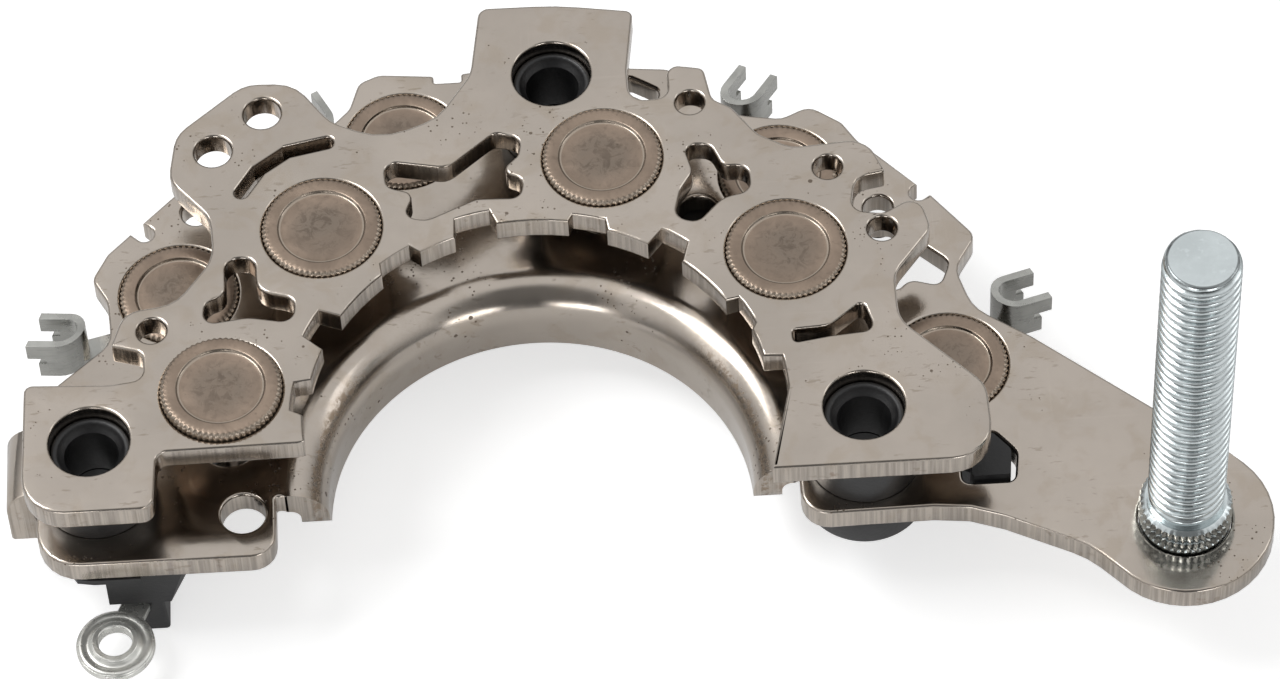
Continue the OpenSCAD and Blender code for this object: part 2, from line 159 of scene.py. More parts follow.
class RectifierSizes(PropertyGroup):
    """Sizes of the fine forms"""
    edge_round: FloatProperty(
        name="Edge rounding", description="Rounding of the stamped plates' edges",
        default=0.00036, min=0.0001, max=0.0005, unit="LENGTH",
    )
    knurl_teeth: IntProperty(
        name="Diode knurl", description="Teeth round a press-fit diode's can",
        default=64, min=40, max=90,
    )
    knurl_depth: FloatProperty(
        name="Knurl depth", description="Depth of the teeth round a can",
        default=0.00016, min=0.00005, max=0.0003, unit="LENGTH",
    )
    thread_pitch: FloatProperty(
        name="Thread pitch", description="Pitch of the output stud's thread",
        default=0.00125, min=0.0008, max=0.0018, unit="LENGTH",
    )
    collar_teeth: IntProperty(
        name="Collar knurl", description="Teeth round the stud's collar",
        default=40, min=24, max=60,
    )


class RectifierFinish(PropertyGroup):
    """Colours of the finishes"""
    plate: FloatVectorProperty(
        name="Plate", description="Nickel-coloured plating of both plates",
        subtype="COLOR", size=3, min=0, max=1, default=(0.42, 0.375, 0.33),
    )
    can: FloatVectorProperty(
        name="Diode can", description="Plating of the diodes' cans",
        subtype="COLOR", size=3, min=0, max=1, default=(0.265, 0.205, 0.16),
    )
    zinc: FloatVectorProperty(
        name="Stud", description="Zinc plating of the output stud",
        subtype="COLOR", size=3, min=0, max=1, default=(0.57, 0.62, 0.63),
    )
    tin: FloatVectorProperty(
        name="Terminals", description="Tin plating of the fork and ring terminals",
        subtype="COLOR", size=3, min=0, max=1, default=(0.37, 0.37, 0.35),
    )
    black: FloatVectorProperty(
        name="Plastic", description="Black plastic of the bushes and the terminal moulding",
        subtype="COLOR", size=3, min=0, max=1, default=(0.012, 0.012, 0.013),
    )


class Shader:
    """A short way to write a node tree: its calls make nodes and give their output."""

    def __init__(self, owner, output="Material"):
        self.owner = owner
        owner.use_nodes = True
        self.tree = owner.node_tree
        self.tree.nodes.clear()
        self.out = self.tree.nodes.new("ShaderNodeOutput" + output)

    def node(self, kind, inputs=None, **settings):
        n = self.tree.nodes.new("ShaderNode" + kind)
        for key, value in settings.items():
            setattr(n, key, value)
        for key, value in (inputs or {}).items():
            self.plug(n.inputs[key], value)
        return n

    def plug(self, socket, value):
        if isinstance(value, bpy.types.NodeSocket):
            self.tree.links.new(value, socket)
        elif isinstance(value, bpy.types.Node):
            self.tree.links.new(value.outputs[0], socket)
        else:
            socket.default_value = value

    def math(self, how, a, b=0.0):
        return self.node("Math", {0: a, 1: b}, operation=how).outputs[0]

    def times(self, a, *more):
        for b in more:
            a = self.math("MULTIPLY", a, b)
        return a

    def plus(self, a, b):
        return self.math("ADD", a, b)

    def minus(self, a, b):
        return self.math("SUBTRACT", a, b)

    def most(self, a, b):
        return self.math("MAXIMUM", a, b)

    def below(self, a, b):
        return self.math("LESS_THAN", a, b)

    def step(self, x, lo, hi, a=0.0, b=1.0):
        """A smooth change from a to b where x goes from lo to hi."""
        reach = {"Value": x, "From Min": lo, "From Max": hi, "To Min": a, "To Max": b}
        return self.node("MapRange", reach, interpolation_type="SMOOTHSTEP").outputs[0]

    def over(self, base, amount, colour):
        """The colour laid over the base by that amount."""
        n = self.node("Mix", data_type="RGBA")
        for index, value in ((0, amount), (6, base), (7, colour)):
            self.plug(n.inputs[index], value)
        return n.outputs[2]

    def place(self):
        return self.node("TexCoord").outputs["Object"]

    def ring(self):
        return self.node("Attribute", attribute_name="ring").outputs["Fac"]

    def noise(self, where, scale, detail=4.0, rough=0.55, warp=0.0):
        settings = {"Vector": where, "Scale": scale, "Detail": detail, "Roughness": rough, "Distortion": warp}
        return self.node("TexNoise", settings).outputs[0]

    def cells(self, where, scale):
        return self.node("TexVoronoi", {"Vector": where, "Scale": scale}).outputs["Distance"]

    def scaled(self, where, scale, turn=0.0):
        return self.node("Mapping", {"Vector": where, "Scale": scale, "Rotation": (0, 0, turn)}).outputs[0]

    def metal_or_plastic(self, base, rough, metallic, height, strength, distance=0.0001):
        """The closing nodes: a bump from the height, and the shader of the surface."""
        bump = self.node("Bump", {"Strength": strength, "Distance": distance, "Height": height})
        surface = {"Base Color": base, "Metallic": metallic, "Roughness": rough, "Normal": bump}
        return self.finish(self.node("BsdfPrincipled", surface))

    def finish(self, shader):
        self.plug(self.out.inputs[0], shader)
        return self.owner


def new_finish(name):
    """The node tree of a new material."""
    return Shader(bpy.data.materials.new(name))


def rgb(c, k=1.0):
    """The colour made k times as bright, with full alpha."""
    return (c[0] * k, c[1] * k, c[2] * k, 1.0)


def plate_finish(c):
    """Nickel-coloured plating on stamped sheet: cloudy stains, small dark pits, hair scratches, smudges,
    and bright upright streaks on the sheared edges, which the ring attribute marks."""
    s = new_finish("plate_plating")
    at = s.place()
    side = s.step(s.ring(), 0.3, 0.8)
    clouds = s.noise(at, 55.0, 5.0, 0.6)
    film = s.noise(at, 260.0, 4.0, 0.55, 0.4)
    # Pits and dots, in patches, on all but the sheared edges.
    patches = s.noise(at, 120.0, 3.0, 0.6)
    pits = s.below(s.cells(at, 620.0), s.step(patches, 0.5, 0.78, 0.02, 0.2))
    dots = s.below(s.cells(at, 1500.0), s.step(s.noise(at, 95.0, 3.0), 0.45, 0.66, 0.0, 0.2))
    specks = s.times(s.most(pits, dots), s.minus(1.0, side))
    # Hair scratches that run two ways, and streaks that run up the sheared edges.
    scratch_a = s.noise(s.scaled(at, (45.0, 2600.0, 200.0), 0.5), 1.0, 2.0, 0.5)
    scratch_b = s.noise(s.scaled(at, (2400.0, 60.0, 200.0), -0.3), 1.0, 2.0, 0.5)
    hair = s.most(s.step(scratch_a, 0.66, 0.72), s.step(scratch_b, 0.68, 0.74))
    streak = s.noise(s.scaled(at, (2700.0, 2700.0, 55.0)), 1.0, 3.0, 0.6)
    base = s.over(rgb(c, 0.93), s.step(clouds, 0.3, 0.72), rgb(c, 1.08))
    base = s.over(base, s.times(s.step(film, 0.48, 0.66), 0.35), (0.36, 0.30, 0.235, 1))
    base = s.over(base, s.times(hair, 0.08), rgb(c, 1.3))
    base = s.over(base, s.times(side, s.step(streak, 0.5, 0.66, 0.0, 0.4)), rgb(c, 0.5))
    base = s.over(base, s.times(side, s.step(streak, 0.5, 0.4, 0.0, 0.5)), rgb(c, 1.4))
    rust = s.step(s.noise(at, 330.0, 5.0, 0.65), 0.62, 0.75, 0.0, 0.75)
    base = s.over(base, s.times(side, rust, 0.7), (0.16, 0.085, 0.04, 1))
    marks = s.noise(s.scaled(at, (520.0, 1900.0, 900.0), 0.7), 1.0, 3.0, 0.6)
    marks = s.times(s.step(marks, 0.6, 0.66), s.step(patches, 0.5, 0.58))
    base = s.over(base, s.times(marks, 0.3), (0.15, 0.105, 0.06, 1))
    # A brown band along the flange's bend, by the distance from its axis in mm: a painted reflection of the
    # upper plate's dark underside.
    across = s.node("VectorMath", {0: s.scaled(at, (1000.0, 1000.0, 0.0))}, operation="LENGTH")
    across = across.outputs["Value"]
    xyz = s.node("SeparateXYZ", {0: at}).outputs
    painted_reflection_band = s.times(s.step(across, 22.9, 23.2), s.step(across, 23.6, 24.2, 1.0, 0.0))
    painted_reflection_band = s.times(painted_reflection_band, s.step(xyz[2], 0.008, 0.009, 1.0, 0.0), s.step(xyz[1], 0.011, 0.018, 1.0, 0.1))
    painted_reflection_band = s.times(painted_reflection_band, s.step(s.noise(at, 1500.0, 5.0, 0.75), 0.44, 0.58))
    # The painted reflection of the upper plate's underside is laid on here.
    base = s.over(base, s.times(painted_reflection_band, 0.6), (0.21, 0.14, 0.08, 1))
    base = s.over(base, s.times(specks, 0.82), (0.10, 0.075, 0.055, 1))
    rough = s.step(s.plus(s.times(clouds, 0.5), s.times(film, 0.5)), 0.35, 0.65, 0.13, 0.24)
    rough = s.plus(rough, s.times(s.most(specks, painted_reflection_band), 0.2))
    rough = s.plus(rough, s.times(side, 0.02))
    height = s.plus(s.times(s.noise(at, 900.0, 3.0), 0.25), s.times(side, streak, 0.7))
    height = s.minus(height, s.times(specks, 0.8))
    height = s.plus(height, s.times(hair, 0.04))
    return s.metal_or_plastic(base, rough, 1.0, height, 0.3)


def can_finish(c):
    """Dull plated can: taupe, with a grey rubbed middle, and a bright pressed ring where the face is sunk.
    The ring attribute is the distance from the can's axis in mm."""
    s = new_finish("diode_plating")
    at = s.place()
    r = s.ring()
    wide = s.noise(at, 190.0, 5.0, 0.65, 0.6)
    fine = s.noise(at, 1300.0, 4.0, 0.6)
    middle = s.step(s.plus(r, s.times(wide, 3.2)), 3.4, 6.0, 1.0, 0.0)
    middle = s.times(middle, s.step(wide, 0.3, 0.6, 0.35, 1.0))
    base = s.over(rgb(c, 0.86), s.step(wide, 0.3, 0.7), rgb(c, 1.16))
    base = s.over(base, middle, (0.205, 0.167, 0.135, 1))
    smudge = s.step(s.noise(at, 700.0, 5.0, 0.72, 1.2), 0.47, 0.6, 0.0, 0.75)
    base = s.over(base, s.times(middle, smudge), (0.125, 0.098, 0.078, 1))
    base = s.over(base, s.step(fine, 0.55, 0.7, 0.0, 0.35), rgb(c, 0.6))
    # A painted highlight round the can's rim, from 5.95 mm out.
    base = s.over(base, s.times(s.step(r, 5.95, 6.15), 0.5), (0.46, 0.40, 0.33, 1))
    pressed = s.times(s.step(r, 4.28, 4.4), s.step(r, 4.62, 4.75, 1.0, 0.0))
    base = s.over(base, s.times(pressed, 0.45), (0.5, 0.44, 0.37, 1))
    dirt = s.times(s.step(s.cells(at, 900.0), 0.16, 0.05), s.step(wide, 0.5, 0.62))
    base = s.over(base, s.times(dirt, 0.6), (0.09, 0.07, 0.055, 1))
    rough = s.minus(s.step(wide, 0.3, 0.7, 0.3, 0.42), s.times(pressed, 0.15))
    height = s.plus(s.times(fine, 0.6), s.times(wide, 0.6))
    return s.metal_or_plastic(base, rough, 0.95, height, 0.4)


def zinc_finish(c):
    """Blue-white zinc: bright crests, painted shade and some dirt in the roots, where the ring attribute is
    high, and wiped marks.
    """
    s = new_finish("stud_zinc")
    at = s.place()
    depth = s.ring()
    wide = s.noise(at, 160.0, 4.0, 0.6)
    fine = s.noise(at, 1500.0, 3.0, 0.6)
    base = s.over(rgb(c, 0.9), s.step(wide, 0.3, 0.7), rgb(c, 1.12))
    # Painted shade, with some dirt, darkens the thread roots and the knurl's grooves by their depth.
    base = s.over(base, s.step(depth, 0.3, 0.9, 0.0, 0.85), rgb(c, 0.22))
    base = s.over(base, s.step(fine, 0.58, 0.7, 0.0, 0.3), rgb(c, 1.25))
    rough = s.step(wide, 0.3, 0.7, 0.16, 0.28)
    return s.metal_or_plastic(base, rough, 1.0, fine, 0.25, 0.00008)


def tin_finish(c, name, metallic):
    """Tin-plated strip: satin grey with rolled lines and finger marks."""
    s = new_finish(name)
    at = s.place()
    wide = s.noise(at, 220.0, 5.0, 0.6)
    rolled = s.noise(s.scaled(at, (300.0, 300.0, 3200.0)), 1.0, 2.0, 0.5)
    base = s.over(rgb(c, 0.82), s.step(wide, 0.3, 0.7), rgb(c, 1.15))
    base = s.over(base, s.step(rolled, 0.55, 0.65, 0.0, 0.3), rgb(c, 0.6))
    rough = s.step(wide, 0.3, 0.7, 0.2, 0.34)
    return s.metal_or_plastic(base, rough, metallic, s.plus(rolled, wide), 0.25)


def black_finish(c, name, rough_lo, rough_hi):
    """Black glass-filled plastic: fine grain, faint grey scuffs and dust."""
    s = new_finish(name)
    at = s.place()
    wide = s.noise(at, 150.0, 5.0, 0.6)
    grain = s.noise(at, 2600.0, 3.0, 0.6)
    base = s.over(rgb(c), s.step(wide, 0.4, 0.75), (0.035, 0.035, 0.036, 1))
    dust = s.below(s.cells(at, 1300.0), s.step(wide, 0.5, 0.7, 0.0, 0.12))
    base = s.over(base, s.times(dust, 0.4), (0.12, 0.11, 0.10, 1))
    rough = s.step(wide, 0.3, 0.7, rough_lo, rough_hi)
    return s.metal_or_plastic(base, rough, 0.0, grain, 0.3)


MATERIALS = {}


def finishes():
    """Each finish is made once, from the colours in the panel."""
    if not MATERIALS:
        f = bpy.context.scene.rectifier_finish
        MATERIALS["plate"] = plate_finish(f.plate)
        MATERIALS["diode_can"] = can_finish(f.can)
        MATERIALS["stud"] = zinc_finish(f.zinc)
        MATERIALS["terminal"] = tin_finish(f.tin, "terminal_tin", 1.0)
        MATERIALS["ring_eye"] = tin_finish([min(1, 1.9 * k) for k in f.tin], "ring_eye_tin", 0.7)
        MATERIALS["bush"] = black_finish(f.black, "bush_plastic", 0.32, 0.5)
        MATERIALS["carrier"] = black_finish(f.black, "moulding_plastic", 0.4, 0.6)
    return MATERIALS


def grid_faces(rows, cols, wrap):
    """Quads of a grid of rows x cols points; wrap joins the last column to the first."""
    i = np.arange(rows - 1)[:, None] * cols
    j = np.arange(cols if wrap else cols - 1)[None, :]
    k = (j + 1) % cols
    return np.stack([i + j, i + k, i + cols + k, i + cols + j], axis=-1).reshape(-1, 4)


def caps(rows, cols):
    """Faces that close the first and the last row of a wrapped grid."""
    first = np.arange(cols)
    return [first[None, ::-1], (rows - 1) * cols + first[None, :]]


def make_piece(name, points, faces, slot, nodes, sharp=35.0, ring=None, finish=None):
    """Points in metres and faces as a list of arrays: a new object, which stands for the CAD nodes where
    any are given."""
    mesh = bpy.data.meshes.new(name)
    flat = [f for a in faces for f in np.asarray(a).tolist()]
    mesh.from_pydata(np.asarray(points, float).tolist(), [], flat)
    if ring is not None:
        layer = mesh.attributes.new("ring", "FLOAT", "POINT")
        layer.data.foreach_set("value", np.asarray(ring, np.float32))
    mesh.shade_smooth()
    mesh.set_sharp_from_angle(angle=math.radians(sharp))
    mesh.materials.append(finishes()[finish or slot])
    piece = bpy.data.objects.new(name, mesh)
    bpy.context.scene.collection.objects.link(piece)
    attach(piece, "root")
    if nodes:
        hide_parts(*nodes)
    return piece


def turned(profile, centre, around, wave=None):
    """Surface of revolution about an upright axis: point (r, z) of the profile at angle a lies at
    centre + (q cos a, q sin a, z), where q is r + wave(a, r, z). With the profile running upwards on the
    outside, and so downwards in a bore, the faces point outwards."""
    p = np.asarray(profile, float)
    a = np.linspace(0, 2 * math.pi, around, endpoint=False)[None, :]
    r, z = p[:, :1], p[:, 1:]
    q = r + (wave(a, r, z) if wave else 0.0 * a)
    points = np.stack([centre[0] + q * np.cos(a), centre[1] + q * np.sin(a), z + 0.0 * a], axis=-1)
    return points.reshape(-1, 3), grid_faces(len(p), around, True)


def ramp(x, start, length):
    """Climbs from 0 at start to 1 at start + length."""
    return np.clip((x - start) / length, 0, 1)


def tooth(a, teeth):
    """Pointed teeth round a circle: 1 on each crest, 0 in each root, and straight between."""
    return np.abs(((a * teeth / (2 * math.pi)) % 1.0) * 2 - 1)


def round_profile(corners, steps=4):
    """Profile with rounded corners: each corner is (r, z, radius), and its arc is the blend
    B(t) = (1-t)^2 A + 2 t (1-t) C + t^2 D between points A and D at that distance from corner C, and at
    no more than 0.48 of either side."""
    out = []
    last = len(corners) - 1
    for i, (r, z, radius) in enumerate(corners):
        c = np.array([r, z])
        if radius <= 0 or i in (0, last):
            out.append(c)
            continue
        a = np.array(corners[i - 1][:2]) - c
        b = np.array(corners[i + 1][:2]) - c
        d = min(radius, 0.48 * np.linalg.norm(a), 0.48 * np.linalg.norm(b))
        start, end = c + a / np.linalg.norm(a) * d, c + b / np.linalg.norm(b) * d
        for t in np.linspace(0, 1, steps + 1):
            out.append((1 - t) ** 2 * start + 2 * t * (1 - t) * c + t * t * end)
    return np.array(out)


def node_mesh(node):
    """A CAD node's points and triangles, with equal points merged."""
    mesh = NODES[node].data
    co = np.empty(len(mesh.vertices) * 3, np.float32)
    mesh.vertices.foreach_get("co", co)
    co = co.reshape(-1, 3).astype(float)
    mesh.calc_loop_triangles()
    tri = np.empty(len(mesh.loop_triangles) * 3, np.int32)
    mesh.loop_triangles.foreach_get("vertices", tri)
    key = np.round(co * 1e6).astype(np.int64)
    _, first, back = np.unique(key, axis=0, return_index=True, return_inverse=True)
    tri = back.reshape(-1)[tri].reshape(-1, 3)
    keep = (tri[:, 0] != tri[:, 1]) & (tri[:, 1] != tri[:, 2]) & (tri[:, 0] != tri[:, 2])
    return co[first], tri[keep]


def node_disc(node):
    """An upright round node's centre, radius, bottom and top, from its box."""
    lo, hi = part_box(node)
    return ((lo[0] + hi[0]) / 2, (lo[1] + hi[1]) / 2), (hi[0] - lo[0]) / 2, lo[2], hi[2]


def top_face(node, z_top):
    """The flat top of a CAD node: its points in x and y, its triangles, and its rim's directed edges, which
    are those whose twin, the same edge the other way round, is missing."""
    co, tri = node_mesh(node)
    n = np.cross(co[tri[:, 1]] - co[tri[:, 0]], co[tri[:, 2]] - co[tri[:, 0]])
    n /= np.maximum(np.linalg.norm(n, axis=1, keepdims=True), 1e-20)
    top = (n[:, 2] > 0.99) & (np.abs(co[tri][:, :, 2] - z_top).max(axis=1) < HAIR)
    used, cap = np.unique(tri[top], return_inverse=True)
    cap = cap.reshape(-1, 3)
    edges = np.concatenate([cap[:, [0, 1]], cap[:, [1, 2]], cap[:, [2, 0]]])
    code = edges[:, 0] * len(used) + edges[:, 1]
    twin = edges[:, 1] * len(used) + edges[:, 0]
    return co[used][:, :2], cap, edges[~np.isin(code, twin)]


def rim_moves(xy, rim):
    """How each rim point moves when both its edges move inwards by one unit: along the sum of their
    inward normals, by 2 over that sum's length, and by no more than 1.6. Other points stay."""
    way = xy[rim[:, 1]] - xy[rim[:, 0]]
    way /= np.maximum(np.linalg.norm(way, axis=1, keepdims=True), 1e-12)
    inward = np.stack([-way[:, 1], way[:, 0]], axis=1)
    push = np.zeros((len(xy), 2))
    np.add.at(push, rim[:, 0], inward)
    np.add.at(push, rim[:, 1], inward)
    size = np.linalg.norm(push, axis=1, keepdims=True)
    move = push / np.maximum(size, 1e-9) * np.minimum(2.0 / np.maximum(size, 1.2), 1.6)
    move[size[:, 0] < 1e-6] = 0
    return move


def stamped_sheet(node, z_low, z_top, rounding, held=None, levels=4):
    """Flat sheet with rounded edges, from a CAD node's top face. Level k of an edge is the outline moved
    inwards by b (1 - sin f) at height z_top - b (1 - cos f), f from 0 to 90 degrees, and the same below.
    held(x, y) is true where an edge runs on into a bend and stays as it is."""
    xy, cap, rim = top_face(node, z_top)
    move = rim_moves(xy, rim)
    m = len(xy)
    b = np.full(m, rounding)
    if held is not None:
        b[held(xy[:, 0], xy[:, 1])] = 0
    turn = np.linspace(0, math.pi / 2, levels + 1)
    rows = []
    for z, up, angles in ((z_top, -1, turn), (z_low, 1, turn[::-1])):
        for f in angles:
            inset = xy + move * (b * (1 - math.sin(f)))[:, None]
            rows.append(np.column_stack([inset, z + up * b * (1 - math.cos(f))]))
    sheared = np.repeat([0.0] * levels + [1.0, 1.0] + [0.0] * levels, m)
    start, end = rim[:, 0], rim[:, 1]
    walls = [np.stack([end + k, start + k, start + k + m, end + k + m], axis=1)
             for k in range(0, (len(rows) - 1) * m, m)]
    bottom = cap[:, ::-1] + (len(rows) - 1) * m
    return np.concatenate(rows), [cap, np.concatenate(walls), bottom], sheared


def softened(node, slot, width, finish=None):
    """A merged copy of a CAD node with its edges bevelled."""
    co, tri = node_mesh(node)
    piece = make_piece("soft_" + node, co, [tri], slot, [node], finish=finish)
    flat = piece.modifiers.new("Flatten", "DECIMATE")
    flat.decimate_type = "DISSOLVE"
    flat.angle_limit = math.radians(1.0)
    bevel = piece.modifiers.new("Edges", "BEVEL")
    bevel.width = width
    bevel.segments = 2
    bevel.limit_method = "ANGLE"
    bevel.angle_limit = math.radians(30.0)
    bevel.harden_normals = False
    return piece


def bend(r, z, radius, angles):
    """Points of a bend about the centre (r, z), from its top inwards and down."""
    return [(r - radius * math.sin(a), z + radius * math.cos(a)) for a in angles]


def flange_side(first_z, radius, wall, way):
    """One side of the drawn flange's section, from the sheet down: a quarter turn of that radius, the
    straight wall, and the lower edge rounded towards the sheet's middle, which lies along way, 1 or -1."""
    r, z = FLANGE_R + BEND_R, LOWER_TOP - BEND_R
    t = np.linspace(0, 1, 17) * math.pi / 2
    side = [(r + LAP, first_z)] + bend(r, z, radius, t)
    side += [(wall, z - (z + DROP - FLANGE_EDGE) * k) for k in (0.25, 0.5, 0.75, 1.0)]
    side += [(wall + way * FLANGE_EDGE * (1 - math.cos(a)), -DROP + FLANGE_EDGE * (1 - math.sin(a)))
             for a in t[1::3]]
    return side + [(FLANGE_R + SHEET / 2, -DROP)]


def flange_surface():
    """The drawn flange: its section is carried round the axis. At height z its two ends stand at the angle
    whose height above the X axis is y = END_Y, or END_Y + (LEAN_Z - z) tan LEAN where they lean back."""
    outer = flange_side(LOWER_TOP - HAIR, BEND_R, FLANGE_R, 1)
    inner = flange_side(LOWER_Z + HAIR, BEND_R - SHEET, FLANGE_R + SHEET, -1)
    p = np.array(outer + inner[::-1][1:])
    rows, around = len(p), 241
    y_end = END_Y + np.maximum(LEAN_Z - p[:, 1:], 0) * math.tan(LEAN)
    a0 = np.arcsin(y_end / p[:, :1])
    a = a0 + (math.pi - 2 * a0) * np.linspace(0, 1, around)[None, :]
    points = np.stack([p[:, :1] * np.cos(a), p[:, :1] * np.sin(a), p[:, 1:] + 0 * a], axis=-1).reshape(-1, 3)
    quads = grid_faces(rows, around, False)
    # The strip that joins the section's last row to its first, inside the sheet.
    j = np.arange(around - 1)
    under = (rows - 1) * around
    closing = np.stack([under + j, under + j + 1, j + 1, j], axis=1)
    # Each end is closed between the outer side's points and the inner side's across from them.
    k = np.arange(len(outer) - 1)
    across = rows - 1 - np.arange(len(outer))
    ends = []
    end_points = []
    for side, col in ((0, 0), (1, around - 1)):
        base = rows * around + side * rows
        end_points.append(points[np.arange(rows) * around + col])
        quad = np.stack([base + k, base + k + 1, base + across[1:], base + across[:-1]], axis=1)
        ends.append(quad if side else quad[:, ::-1])
    sheared = np.concatenate([np.zeros(rows * around), np.ones(2 * rows)])
    faces = [quads[:, ::-1], closing[:, ::-1], np.concatenate(ends)]
    return np.concatenate([points] + end_points), faces, sheared


def side_flange_surface():
    """The short flange at the left: the section of a bend carried along Y, drawn in a little at both ends."""
    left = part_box("lower_plate")[0][0]
    x, z = left + SIDE_R, LOWER_TOP - SIDE_R
    t = np.linspace(0, 1, 9) * math.pi / 2
    section = [(x + LAP, LOWER_TOP - HAIR)] + bend(x, z, SIDE_R, t)
    section += [(left, -DROP + SIDE_EDGE), (left + SIDE_EDGE, -DROP), (left + SHEET - SIDE_EDGE, -DROP),
                (left + SHEET, -DROP + SIDE_EDGE)]
    section += bend(x, z, SIDE_R - SHEET, t[::-1]) + [(x + LAP, LOWER_Z + HAIR)]
    p = np.array(section)
    n = len(p)
    way = np.roll(p, -1, axis=0) - np.roll(p, 1, axis=0)
    way /= np.linalg.norm(way, axis=1, keepdims=True)
    inwards = np.stack([-way[:, 1], way[:, 0]], axis=1)
    y0, y1 = SIDE_Y
    b = SIDE_END
    places = [(y0, b), (y0 + b * 0.3, b * 0.3), (y0 + b, 0), (y1 - b, 0), (y1 - b * 0.3, b * 0.3), (y1, b)]
    rows = []
    for y, inset in places:
        q = p + inwards * inset
        rows.append(np.column_stack([q[:, 0], np.full(n, y), q[:, 1]]))
    # The ends have points of their own, which are marked as sheared.
    body = len(rows) * n
    ends = [body + np.arange(n)[None, ::-1], body + n + np.arange(n)[None, :]]
    sheared = np.concatenate([np.zeros(body), np.ones(2 * n)])
    return np.concatenate(rows + [rows[0], rows[-1]]), [grid_faces(len(rows), n, True)] + ends, sheared


class RECTIFIER_OT_upper_plate(Operator):
    """Upper plate: stamped sheet with rounded edges"""
    bl_idname = "rectifier.upper_plate"
    bl_label = "Upper plate"

    def execute(self, context):
        rounding = context.scene.rectifier_sizes.edge_round
        points, faces, sheared = stamped_sheet("upper_plate", UPPER_Z, UPPER_TOP, rounding)
        make_piece("stamped_upper_plate", points, faces, "plate", ["upper_plate"], 30, sheared)
        return {"FINISHED"}


class RECTIFIER_OT_lower_plate(Operator):
    """Lower plate: stamped sheet with the drawn half-round flange and the short side flange"""
    bl_idname = "rectifier.lower_plate"
    bl_label = "Lower plate"

    def execute(self, context):
        rounding = context.scene.rectifier_sizes.edge_round
        bend_r = FLANGE_R + BEND_R
        bend_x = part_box("lower_plate")[0][0] + SIDE_R
        near = 0.05 * MM

        def held(x, y):
            on_bend = (np.hypot(x, y) < bend_r + 0.08 * MM) & (y > END_Y - 0.01 * MM)
            on_side = (x < bend_x + near) & (y > SIDE_Y[0] - near) & (y < SIDE_Y[1] + near)
            return on_bend | on_side

        points, faces, sheared = stamped_sheet("lower_plate", LOWER_Z, LOWER_TOP, rounding, held)
        for more, quads, ends in (flange_surface(), side_flange_surface()):
            faces += [q + len(points) for q in quads]
            points = np.concatenate([points, more])
            sheared = np.concatenate([sheared, ends])
        make_piece("stamped_lower_plate", points, faces, "plate", ["lower_plate"], 30, sheared)
        return {"FINISHED"}


class RECTIFIER_OT_diodes(Operator):
    """Press-fit diodes: knurled can, sunk face with a pressed ring, sealing dome and lead"""
    bl_idname = "rectifier.diodes"
    bl_label = "Diodes"

    def execute(self, context):
        sizes = context.scene.rectifier_sizes
        teeth, depth = sizes.knurl_teeth, sizes.knurl_depth

        def knurl(a, r, z):
            return -depth * ramp(r, 5.85 * MM, 0.2 * MM) * (1 - tooth(a, teeth))

        cols = teeth * 6
        for node in [k for k in NODES if "_diode_" in k]:
            centre, big, low, top = node_disc(node)
            under = (UPPER_Z if node.startswith("upper") else LOWER_Z) - 1 * MM
            profile = [(0.65 * MM, low)] + [(r * MM, under + z * MM) for r, z in DIODE_UNDER]
            profile += [(big - 0.1 * MM, under + 0.1 * MM), (big, under + 0.35 * MM)]
            profile += [(big, z) for z in np.linspace(under + 0.6 * MM, top - 0.42 * MM, 5)]
            profile += [(big + r * MM, top + z * MM) for r, z in DIODE_SHOULDER]
            profile = np.array(profile + [(r * MM, top + z * MM) for r, z in DIODE_FACE])
            points, faces = turned(profile, centre, cols, knurl)
            ring = np.repeat(profile[:, 0] / MM, cols)
            faces = [faces] + caps(len(profile), cols)
            make_piece("can_" + node, points, faces, "diode_can", [node], 38, ring)
        return {"FINISHED"}


def threaded_shaft(centre, top, pitch):
    """Threaded shaft. At angle a and height z its radius is the shaft's less depth (1 - k), where k climbs
    smoothly from 0 in the root to 1 on the crest with the turn z / pitch - a / 360 degrees. The thread
    fades in over the collar. The last 1.2 mm are drawn in by 0.55 mm times 1 - sqrt(t), t = 0 at the end."""
    around = 96
    start = LOWER_TOP + 3.6 * MM
    rows = int((top - start) / pitch * 14)
    z = np.linspace(start, top, rows)[:, None]
    a = np.linspace(0, 2 * math.pi, around, endpoint=False)[None, :]
    turn = (z / pitch - a / (2 * math.pi)) % 1.0
    crest = np.clip((np.abs(turn * 2 - 1) - 0.14) / 0.66, 0, 1)
    crest = crest * crest * (3 - 2 * crest)
    fade = np.clip((z - start - 0.35 * MM) / (1.1 * MM), 0, 1)
    r = SHAFT_R - THREAD_DEEP * (1 - crest) * fade - 0.12 * MM * (1 - fade)
    end = SHAFT_R - 0.55 * MM + np.sqrt(np.clip((top - z) / (1.2 * MM), 0, 1)) * 0.55 * MM
    r = np.minimum(r, end)
    shaft = np.stack([centre[0] + r * np.cos(a), centre[1] + r * np.sin(a), z + 0 * a], axis=-1)
    lid, _ = turned([(k * MM, top - d * MM) for k, d in STUD_CRATER], centre, around)
    rows += len(STUD_CRATER)
    # The ring attribute is the thread's depth, by which the zinc finish paints shade into the roots.
    ring = np.concatenate([((SHAFT_R - r) / THREAD_DEEP + 0 * a).reshape(-1), np.zeros(len(lid))])
    points = np.concatenate([shaft.reshape(-1, 3), lid])
    return points, [grid_faces(rows, around, True)] + caps(rows, around), ring


